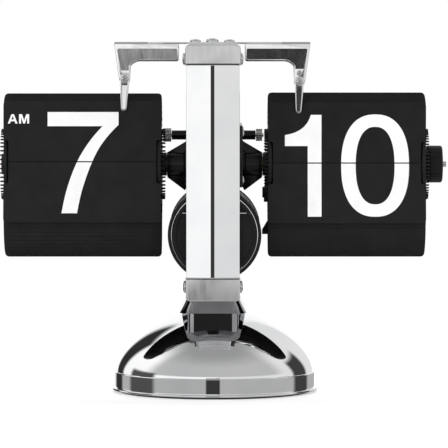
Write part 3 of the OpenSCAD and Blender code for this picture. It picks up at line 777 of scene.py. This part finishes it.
def build_wheel(part, where, out):
    """Drum wheel: rim, web, hub, ribs and the ring of round-ended pins on its outer side."""
    node = f"{part}_wheel_{where}"
    lo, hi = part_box(node)
    face = disc_face(node, out)
    inner = face - out * WHEEL_T
    centre = Vector((inner, 0, AXIS_Z))
    axis = "X" if out > 0 else "-X"
    hub_end = min(abs((hi[0] if out > 0 else lo[0]) - inner), HUB_OUT)
    web_t = WHEEL_T - 0.7 * MM
    profile = [(WHEEL_BORE, 0), (14.2 * MM, 0), (14.2 * MM, 0.3 * MM), (WHEEL_R - 0.5 * MM, 0.3 * MM),
               (WHEEL_R, 0.7 * MM), (WHEEL_R, WHEEL_T), (WEB_OUT, WHEEL_T), (13.2 * MM, web_t),
               (6.2 * MM, web_t), (5 * MM, WHEEL_T), (4.6 * MM, hub_end), (WHEEL_BORE, hub_end)]
    bm = bmesh.new()
    add_lathe(bm, rounded(profile, 0.15 * MM, 2) + profile[:1], at(centre, axis), 120)

    tip = PIN_OUT - 0.1 * MM
    shape = [(0, -0.2 * MM), (PIN_R, -0.2 * MM), (PIN_R, tip - 0.25 * MM), (PIN_R * 0.7, tip), (0, tip)]
    for k in range(LEAVES[part]):
        pin = drum_pin(part, k)
        add_lathe(bm, shape, at((face, pin.y, pin.z), axis), 14)
    for k in range(6):
        spin = at(centre, axis) @ Matrix.Rotation(math.pi / 3 * k, 4, "Z")
        rib = rectangle(WEB_IN, WEB_OUT, -0.5 * MM, 0.5 * MM)
        add_prism(bm, rib, spin, WHEEL_T - 0.9 * MM, WHEEL_T - 0.15 * MM)
    if where == "inner":
        add_tube(bm, (face, 0, AXIS_Z), axis, BOSS_IN, BOSS_OUT, -0.2 * MM, BOSS_LENGTH, 0.1 * MM, 2, 64)
    if node == "minute_wheel_inner":
        add_carry_lug(bm, face)
    make(node + "_ringed", bm, node, "black_matte", 35, part + "_drum")


def build_knob():
    """Set knob with 36 shallow flutes and a slightly crowned end."""
    lo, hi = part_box("set_knob")
    r = (hi[2] - lo[2]) / 2
    length = hi[0] - lo[0]

    def flutes(angle, radius):
        if radius < r * 0.9:
            return radius
        return radius - 0.28 * MM * (0.5 + 0.5 * math.cos(36 * angle)) ** 2

    profile = [(0, 0), (r * 0.95, 0), (r * 0.985, 0.25 * MM), (r, 0.6 * MM), (r, length * 0.5),
               (r, length - 1.3 * MM), (r * 0.985, length - 0.8 * MM), (r * 0.94, length - 0.45 * MM),
               (r * 0.88, length - 0.3 * MM), (r * 0.6, length - 0.1 * MM), (r * 0.3, length), (0, length)]
    bm = bmesh.new()
    add_lathe(bm, profile, at((lo[0], 0, AXIS_Z), "X"), 288, flutes)
    make("set_knob_fluted", bm, "set_knob", "black_gloss", 40, "minute_drum")


# -------- gearbox

GEARBOX_HALF_Y = 35 * MM
GEARBOX_Z = (94.4 * MM, 122 * MM)
HUB_TIP_X = 21.8 * MM
HUB_R, HUB_STEP_R, HUB_GROOVE_R, HUB_HOLE_R = 5.4 * MM, 6.4 * MM, 5.1 * MM, 2.3 * MM
GUSSET_X, GUSSET_TIP_X, GUSSET_HALF_T = 13.6 * MM, 21.6 * MM, 1.2 * MM


def build_gearbox(where, side):
    """Gearbox half: housing, the drum's stepped hub, the gusset webs and, on the left, screw bosses."""
    axis = "X" if side > 0 else "-X"
    root_x = GEARBOX_WALL_X - 0.5 * MM
    bm = bmesh.new()
    x0, x1 = sorted((0, side * GEARBOX_WALL_X))
    add_box(bm, x0, x1, -GEARBOX_HALF_Y, GEARBOX_HALF_Y, *GEARBOX_Z, 0.5 * MM)

    length = HUB_TIP_X - root_x
    hub = [(0, 0), (HUB_STEP_R, 0), (HUB_STEP_R, 1.5 * MM), (HUB_R, 2.1 * MM), (HUB_R, length - 1.6 * MM),
           (HUB_GROOVE_R, length - 1.4 * MM), (HUB_GROOVE_R, length - 0.9 * MM), (HUB_R, length - 0.7 * MM),
           (HUB_R, length), (HUB_HOLE_R, length), (HUB_HOLE_R, length - 1 * MM), (0, length - 1 * MM)]
    add_lathe(bm, rounded(hub, 0.15 * MM, 2), at((side * root_x, 0, AXIS_Z), axis), 96)

    web = [(root_x, GEARBOX_Z[0]), (GUSSET_X, 91.8 * MM), (GUSSET_TIP_X, AXIS_Z - 6 * MM),
           (GUSSET_TIP_X, AXIS_Z + 5.4 * MM), (GUSSET_X, 113.9 * MM), (root_x, 115 * MM)]
    if side < 0:
        web = [(-x, z) for x, z in reversed(web)]
        for y in (-GEARBOX_SCREW_Y, GEARBOX_SCREW_Y):
            for z in GEARBOX_SCREW_Z:
                add_rod(bm, (0.3 * MM - GEARBOX_WALL_X, y, z), axis, 2.6 * MM, 0.3 * MM, 32)
    add_prism(bm, web, FACE_XZ, -GUSSET_HALF_T, GUSSET_HALF_T, 0.25 * MM, 2)
    make(f"gearbox_{where}_moulding", bm, f"gearbox_{where}", "black_gloss", 35)


# -------- battery barrel

BARREL_R, BARREL_IN, BARREL_REAR_Y = 20.6 * MM, 17.6 * MM, 33.5 * MM
BARREL_Z = sum(span("barrel_front_cover", 2)) / 2
COVER_R = 21 * MM
RING_IN, RING_OUT = 19.05 * MM, 19.5 * MM
DOOR_Y = 33.7 * MM
HINGE = Vector(JOINTS["battery_door_swing"]["pos_m"])
HINGE_R = 1.5 * MM
# Heights of the two bars across the front cover
CROSSBAR_Z = (82.9 * MM, 58.6 * MM)


def chord_half(r, z):
    """Half the width of a circle round the barrel's axis at height z."""
    return math.sqrt(r ** 2 - (z - BARREL_Z) ** 2)


def build_barrel():
    """Tube with shallow grooves, and two hinge knuckles under its rear end."""
    y0 = span("battery_barrel", 1)[0]
    length = BARREL_REAR_Y - y0
    profile = [(BARREL_IN, 0), (BARREL_R, 0)]
    groove_r = BARREL_R - 0.35 * MM
    for k in range(1, 12):
        h = length * k / 12
        profile += [(BARREL_R, h - 0.7 * MM), (groove_r, h - 0.4 * MM)]
        profile += [(groove_r, h + 0.4 * MM), (BARREL_R, h + 0.7 * MM)]
    profile += [(BARREL_R, length), (BARREL_IN, length), (BARREL_IN, 0)]
    bm = bmesh.new()
    add_lathe(bm, profile, at((0, y0, BARREL_Z), "Y"), 128)
    for side in (-1, 1):
        x0, x1 = sorted((side * 3.3 * MM, side * 7.5 * MM))
        add_rod(bm, (x0, HINGE.y, HINGE.z), "X", HINGE_R, x1 - x0)
        add_box(bm, x0, x1, 27 * MM, HINGE.y, HINGE.z - HINGE_R, HINGE.z + 0.4 * MM, 0.2 * MM)
        add_box(bm, x0, x1, 27 * MM, BARREL_REAR_Y, HINGE.z, 54.5 * MM, 0.2 * MM)
    make("battery_barrel_ribbed", bm, "battery_barrel", "black_gloss", 32, look="cover")


def build_front_cover():
    """Lid with a groove for the bright ring, a sunk middle and two bars across it."""
    y0, y1 = span("barrel_front_cover", 1)
    depth = y1 - y0
    sunk = depth - 0.5 * MM
    profile = [(0, 0), (COVER_R, 0), (COVER_R, depth - 0.1 * MM), (COVER_R - 0.5 * MM, depth),
               (19.6 * MM, depth), (RING_OUT, sunk), (19 * MM, sunk), (18.9 * MM, depth),
               (17.4 * MM, depth), (17 * MM, sunk), (0, sunk)]
    bm = bmesh.new()
    add_lathe(bm, rounded(profile, 0.12 * MM, 2), at((0, y1, BARREL_Z), "-Y"), 144)
    for z in CROSSBAR_Z:
        half = chord_half(17 * MM, z)
        add_box(bm, -half, half, y0 + 0.05 * MM, y0 + 0.7 * MM, z - 0.45 * MM, z + 0.45 * MM, 0.15 * MM)
    make("barrel_front_lid", bm, "barrel_front_cover", "black_gloss", 32, look="cover")


def build_trim_ring():
    """Bright ring, with a bright line along each of the cover's bars."""
    y0, y1 = span("barrel_trim_ring", 1)
    bm = bmesh.new()
    add_tube(bm, (0, y1, BARREL_Z), "-Y", RING_IN, RING_OUT, 0, y1 - y0, 0.1 * MM, 3, 144)
    for z in CROSSBAR_Z:
        half = chord_half(19.1 * MM, z)
        add_box(bm, -half, half, y0 + 0.02 * MM, y1, z - 0.16 * MM, z + 0.16 * MM, 0.04 * MM)
    make("barrel_bright_ring", bm, "barrel_trim_ring", "chrome", 45)


def build_battery_door():
    """Ribbed disc with a hinge knuckle below and a thumb catch above."""
    profile = [(0, 0), (COVER_R, 0), (COVER_R, 1.5 * MM), (COVER_R - 0.8 * MM, 2.3 * MM),
               (18 * MM, 2.3 * MM), (17.4 * MM, 1.8 * MM), (0, 1.8 * MM)]
    bm = bmesh.new()
    add_lathe(bm, rounded(profile, 0.2 * MM, 3), at((0, DOOR_Y, BARREL_Z), "Y"), 144)
    outer = DOOR_Y + 2.3 * MM
    for k in range(-3, 4):
        z = BARREL_Z + k * 3.6 * MM
        half = chord_half(16 * MM, z)
        add_box(bm, -half, half, DOOR_Y + 1.6 * MM, outer, z - 0.5 * MM, z + 0.5 * MM, 0.2 * MM)
    add_rod(bm, (-3 * MM, HINGE.y, HINGE.z), "X", HINGE_R, 6 * MM)
    add_box(bm, -3 * MM, 3 * MM, DOOR_Y + 0.2 * MM, outer, HINGE.z, 54 * MM, 0.2 * MM)
    add_box(bm, -5 * MM, 5 * MM, outer - 0.1 * MM, DOOR_Y + 3.9 * MM, 88.4 * MM, 90 * MM, 0.4 * MM)
    make("battery_door_ribbed", bm, "battery_door", "black_gloss", 32, "battery_lid", "cover")


# -------- numerals, in millimetres

# A 0: half its width and height, its hole's, and how square both are
ZERO_A, ZERO_B, HOLE_A, HOLE_B, ZERO_POWER = 15.35, 23.2, 8.8, 17.6, 2.35
# A 9's bowl: how high its middle stands, half its height, its hole's, and how square both are
BOWL_Z, BOWL_B, BOWL_HOLE_B, BOWL_POWER = 8.2, 14.8, 9.2, 2.25
LETTER_H = 4.2
# Half of the line left unprinted at a number's middle
PRINT_GAP = 0.28


def super_point(cx, cz, a, b, power, t):
    c, s = math.cos(t), math.sin(t)
    return (cx + a * math.copysign(abs(c) ** (2 / power), c),
            cz + b * math.copysign(abs(s) ** (2 / power), s))


def superellipse(cx, cz, a, b, power, steps=96):
    return [super_point(cx, cz, a, b, power, 2 * math.pi * i / steps) for i in range(steps)]


def shifted(x, z, *loops):
    return [[(x + px, z + pz) for px, pz in loop] for loop in loops]


def glyph_seven(x, z):
    """Outline of a 7 whose bar starts at x and whose middle stands at height z."""
    outer = curve((32.1, 17), (24, 9.5), (20.3, 0.5), (15.3, -11), (13.4, -23.1))
    inner = curve((6.4, -23.1), (8.5, -10), (13.5, 0.6), (18, 9.5), (24.9, 16.4))
    return shifted(x, z, [(0, 16.4), (0, 22.8), (32.1, 22.8)] + outer + inner)


def glyph_one(x, z):
    flag = curve((11.7, 23), (9.5, 15.2), (0, 13.9))
    return shifted(x, z, [(10.3, -23.2), (16.5, -23.2), (16.5, 23)] + flag + [(0, 8.9), (10.3, 8.9)])


def glyph_zero(x, z):
    cx = x + ZERO_A
    return [superellipse(cx, z, ZERO_A, ZERO_B, ZERO_POWER), superellipse(cx, z, HOLE_A, HOLE_B, ZERO_POWER)]


def glyph_nine(x, z):
    """Bowl and tail as one outline, and the bowl's hole."""
    cx, bowl_z, foot = x + ZERO_A, z + BOWL_Z, z - ZERO_B
    crook, end = z - 17.4, z - 12
    side = cx + ZERO_A
    loop = curve((side, bowl_z), (side, foot), (cx - 2, foot), (cx - 13, foot), (cx - 14.6, end))
    loop += curve((cx - 8.2, end), (cx - 7, crook), (cx - 1.5, crook), (cx + 8.5, crook), (cx + 8.9, z - 4.5))
    for i in range(1, 60):
        t = -math.radians(57 + 303 * i / 60)
        loop.append(super_point(cx, bowl_z, ZERO_A, BOWL_B, BOWL_POWER, t))
    return [loop, superellipse(cx, bowl_z, HOLE_A, BOWL_HOLE_B, BOWL_POWER)]


def glyph_six(x, z):
    """A 9 turned upside down."""
    cx = x + ZERO_A
    return [[(2 * cx - px, 2 * z - pz) for px, pz in loop] for loop in glyph_nine(x, z)]


def glyph_letters(x, z):
    """Small AM with its baseline at z."""
    h = LETTER_H
    a = [[(0, 0), (1.0, 0), (1.35, 1.05), (3.05, 1.05), (3.4, 0), (4.4, 0), (2.75, h), (1.65, h)],
         [(1.62, 1.85), (2.78, 1.85), (2.2, 3.4)]]
    m = [[(5.1, 0), (6.0, 0), (6.0, 2.9), (7.0, 0), (7.75, 0), (8.75, 2.9), (8.75, 0), (9.65, 0), (9.65, h),
          (8.3, h), (7.38, 1.4), (6.45, h), (5.1, h)]]
    return shifted(x, z, *a, *m)


def fill_loops(loops):
    """A flat mesh of 2D loops, in which a loop inside another is a hole."""
    curve = bpy.data.curves.new("fill", "CURVE")
    curve.dimensions = "2D"
    curve.fill_mode = "BOTH"
    for loop in loops:
        spline = curve.splines.new("POLY")
        spline.points.add(len(loop) - 1)
        for point, (x, z) in zip(spline.points, loop):
            point.co = (x, z, 0, 1)
        spline.use_cyclic_u = True
    holder = bpy.data.objects.new("fill", curve)
    bpy.context.scene.collection.objects.link(holder)
    bpy.context.view_layer.update()
    mesh = bpy.data.meshes.new_from_object(holder.evaluated_get(bpy.context.evaluated_depsgraph_get()))
    bpy.data.objects.remove(holder)
    bpy.data.curves.remove(curve)
    return mesh


def add_half(bm, loops, split, upper):
    """Adds the part of a filled glyph above or below the split height."""
    mesh = fill_loops(loops)
    part = bmesh.new()
    part.from_mesh(mesh)
    cut = split + PRINT_GAP if upper else split - PRINT_GAP
    geometry = part.verts[:] + part.edges[:] + part.faces[:]
    bmesh.ops.bisect_plane(part, geom=geometry, plane_co=(0, cut, 0), plane_no=(0, 1, 0),
                           clear_outer=not upper, clear_inner=upper)
    part.to_mesh(mesh)
    part.free()
    bm.from_mesh(mesh)
    bpy.data.meshes.remove(mesh)


# -------- numbers on the leaves

# Half a leaf's thickness with a hair of room, and the print's own thickness
PRINT_LIFT, PRINT_RISE = 0.104 * MM, 0.03 * MM
# Degrees by which the leaves in front lean from the tangent at their pins
LEAF_LEAN = {"hour": 6, "minute": 7.5}


def print_half(name, groups, body, pin, angle, split, upper, height_pin=None, back=False):
    """Prints one half of a number on a leaf.

    groups are outlines in millimetres (x, z). The half above or below the split height is laid on the
    leaf that starts at pin and runs along angle, in degrees from straight ahead upwards. Heights count
    from height_pin where the half shows only once the leaf has turned, and back is the leaf's rear face."""
    direction = math.radians(angle)
    along = Vector((0, -math.cos(direction), math.sin(direction)))
    out = Vector((1, 0, 0)).cross(along)
    if (out.y > 0) != back:
        out = -out
    bm = bmesh.new()
    for loops in groups:
        add_half(bm, loops, split, upper)
    sign = 1 if upper else -1
    start_z = (height_pin or pin).z
    for vert in bm.verts:
        reach = sign * (vert.co.y * MM - start_z)
        vert.co = Vector((vert.co.x * MM, pin.y, pin.z)) + along * reach + out * PRINT_LIFT
    bmesh.ops.remove_doubles(bm, verts=bm.verts, dist=1e-7)
    side = bmesh.ops.extrude_face_region(bm, geom=bm.faces[:])
    for element in side["geom"]:
        if isinstance(element, bmesh.types.BMVert):
            element.co += out * PRINT_RISE
    place(finish_mesh(name, bm, LOOK["print"], 20, smooth=False), body, "leaf")


def pin_angle(pin):
    """Angle of a pin round its drum, in degrees from straight ahead upwards."""
    return math.degrees(math.atan2(pin.z - AXIS_Z, -pin.y))


def readings(part, middle):
    """The number that shows and the one before it, about the height where the leaves meet."""
    if part == "hour":
        z = middle - 0.3
        letters = glyph_letters(-93.6, middle + 17.3)
        return [glyph_seven(-75.6, z), letters], [glyph_six(-74.9, z), letters]
    z = middle - 1.2
    return [glyph_one(31.8, z), glyph_zero(57.25, z)], [glyph_zero(27.5, z), glyph_nine(61.7, z)]


def build_number(part):
    """The number that shows, and the one before it where the drop leaf hides it at rest."""
    up_pin, low_pin, next_pin = drum_pin(part, 1), DROP_PIN[part], drum_pin(part, -1)
    lean = LEAF_LEAN[part]
    split = (up_pin.z + low_pin.z) / 2 / MM
    now, before = readings(part, split)
    up_angle = pin_angle(up_pin) + 90 - lean
    low_angle = max(-90, pin_angle(low_pin) - 90 + lean)
    next_angle = max(-90, pin_angle(next_pin) - 90 + lean)
    drop = part + "_drop_leaf"
    print_half(part + "_numeral_upper", now, "root", up_pin, up_angle, split, True)
    print_half(part + "_numeral_lower", now, drop, low_pin, low_angle, split, False)
    print_half(part + "_previous_upper", before, drop, low_pin, low_angle, split, True, up_pin, True)
    print_half(part + "_previous_lower", before, "root", next_pin, next_angle, split, False, low_pin)


# -------- stage

FLOOR_R = 0.8
# Brightness of the studio: all round, on the fill side, below the horizon, high in front and overhead
SURROUND, FILL_SIDE, BELOW, FRONT_UP, ZENITH = 1.05, 0.8, 0.45, 0.52, 0.34
# What is dark round the chrome: the gap where the camera stands, then three broad dark flags. From and to
# in degrees round the object, 0 straight in front and positive to the right, the height of the top edge,
# how soft the edges are, and how bright the dark is
STUDIO_FLAGS = ((-10, 6, 2, 1, 0.04), (-115, -75, 15, 4, 0.08),
                (-160, -135, 40, 4, 0.03), (105, 135, 30, 4, 0.05))


def build_floor():
    """Plain pale floor that runs into the backdrop. The chrome mirrors the studio and not the floor."""
    bm = bmesh.new()
    add_lathe(bm, [(0, 0), (0.2, 0), (FLOOR_R, 0)], steps=128)
    material, tree, shader = new_material("floor_white")
    two_tone(tree, shader, noise(tree, 6, 4), (0.86, 0.86, 0.86), (0.9, 0.9, 0.9))
    shader.inputs["Roughness"].default_value = 0.8
    shader.inputs["Specular IOR Level"].default_value = 0.1
    shader.inputs["Emission Color"].default_value = (1, 1, 1, 1)
    shader.inputs["Emission Strength"].default_value = 0.42
    floor = finish_mesh("floor", bm, material)
    floor.location.z = -0.00005
    floor.visible_glossy = False


def build_world():
    """Soft white studio: key side left, fill side right, grey overhead and below the horizon."""
    world = bpy.data.worlds.new("studio")
    bpy.context.scene.world = world
    world.use_nodes = True
    tree = world.node_tree
    tree.nodes.clear()
    links = tree.links
    coord = tree.nodes.new("ShaderNodeTexCoord")
    direction = tree.nodes.new("ShaderNodeSeparateXYZ")
    links.new(coord.outputs["Generated"], direction.inputs["Vector"])

    def calculate(kind, *values):
        node = tree.nodes.new("ShaderNodeMath")
        node.operation = kind
        for socket, value in zip(node.inputs, values):
            if isinstance(value, (int, float)):
                socket.default_value = value
            else:
                links.new(value, socket)
        return node.outputs["Value"]

    def rise(value, a, b):
        return map_range(tree, value, a, b, kind="SMOOTHSTEP")

    def window(value, a, b, soft):
        return calculate("MULTIPLY", rise(value, a - soft, a + soft), rise(value, b + soft, b - soft))

    def blend(base, other, weight):
        difference = calculate("SUBTRACT", other, base)
        return calculate("ADD", base, calculate("MULTIPLY", difference, weight))

    x, y, z = (direction.outputs[k] for k in "XYZ")
    azimuth = calculate("MULTIPLY", calculate("ARCTAN2", x, calculate("MULTIPLY", y, -1)), 180 / math.pi)
    height = calculate("MULTIPLY", calculate("ARCSINE", z), 180 / math.pi)
    light = blend(SURROUND, FILL_SIDE, window(azimuth, 2, 165, 3))
    light = blend(light, BELOW, rise(height, -4.0, -4.8))
    light = blend(light, FRONT_UP, calculate("MULTIPLY", window(azimuth, -85, 85, 12), rise(height, 7, 13)))
    light = blend(light, ZENITH, rise(height, 40, 75))
    for left, right, top, edge, tone in STUDIO_FLAGS:
        flag = calculate("MULTIPLY", window(azimuth, left, right, edge), window(height, -30, top, edge))
        light = blend(light, tone, flag)
    path = tree.nodes.new("ShaderNodeLightPath")
    light = blend(light, 1.0, path.outputs["Is Camera Ray"])
    background = tree.nodes.new("ShaderNodeBackground")
    background.inputs["Color"].default_value = (1, 1, 1, 1)
    links.new(light, background.inputs["Strength"])
    output = tree.nodes.new("ShaderNodeOutputWorld")
    links.new(background.outputs["Background"], output.inputs["Surface"])


def area_light(name, location, size, power):
    """Soft lamp aimed at the middle of the clock."""
    data = bpy.data.lights.new(name, "AREA")
    data.shape = "RECTANGLE"
    data.size, data.size_y = size
    data.energy = power
    lamp = bpy.data.objects.new(name, data)
    lamp.location = location
    lamp.visible_glossy = False
    aim = Vector((0, 0, 0.08))
    lamp.rotation_euler = (aim - Vector(location)).to_track_quat("-Z", "Y").to_euler()
    bpy.context.scene.collection.objects.link(lamp)


def build_lights():
    area_light("key_left", (-0.5, -1.1, 0.6), (0.8, 0.8), 4)
    area_light("key_right", (0.6, -1.1, 0.5), (0.8, 0.8), 2.5)
    area_light("top_back", (0.1, 0.5, 0.95), (0.9, 0.6), 7)


def build_camera():
    """Camera straight in front at about the clock's own height, tilted slightly down."""
    data = bpy.data.cameras.new("view")
    camera = bpy.data.objects.new("view", data)
    bpy.context.scene.collection.objects.link(camera)
    distance, height = 1.8, 0.162
    aim = Vector((4.23 * MM, 0, 76.4 * MM))
    camera.location = (aim.x, -distance, height)
    camera.rotation_euler = (aim - camera.location).to_track_quat("-Z", "Y").to_euler()
    data.sensor_width = 36
    data.lens = 317
    data.clip_start, data.clip_end = 0.05, 50
    bpy.context.scene.camera = camera
    view = bpy.context.scene.view_settings
    view.view_transform = "Standard"
    view.look = "None"


def main():
    build_camera()
    build_world()
    build_lights()
    build_floor()
    build_dome()
    build_base_plate()
    build_neck_post()
    build_neck_flare()
    build_bar("front", -1)
    build_bar("rear", 1)
    build_cap()
    build_collar()
    build_top_plate()
    build_arm("arm_left", -1, 40.6 * MM, 139.8 * MM, 146.6 * MM, 0.8)
    build_arm("arm_right", 1, 38.3 * MM, 138.6 * MM, 147.2 * MM, -1.5)
    build_finger("left", 5)
    build_finger("right", -1.5)
    build_side_screws()
    build_top_screws()
    build_finger_screws()
    build_gearbox_screws()
    build_gearbox("left", -1)
    build_gearbox("right", 1)
    build_barrel()
    build_front_cover()
    build_trim_ring()
    build_battery_door()
    build_wheel("minute", "inner", -1)
    build_wheel("minute", "outer", 1)
    build_wheel("hour", "inner", 1)
    build_wheel("hour", "outer", -1)
    build_knob()
    build_number("hour")
    build_number("minute")


main()
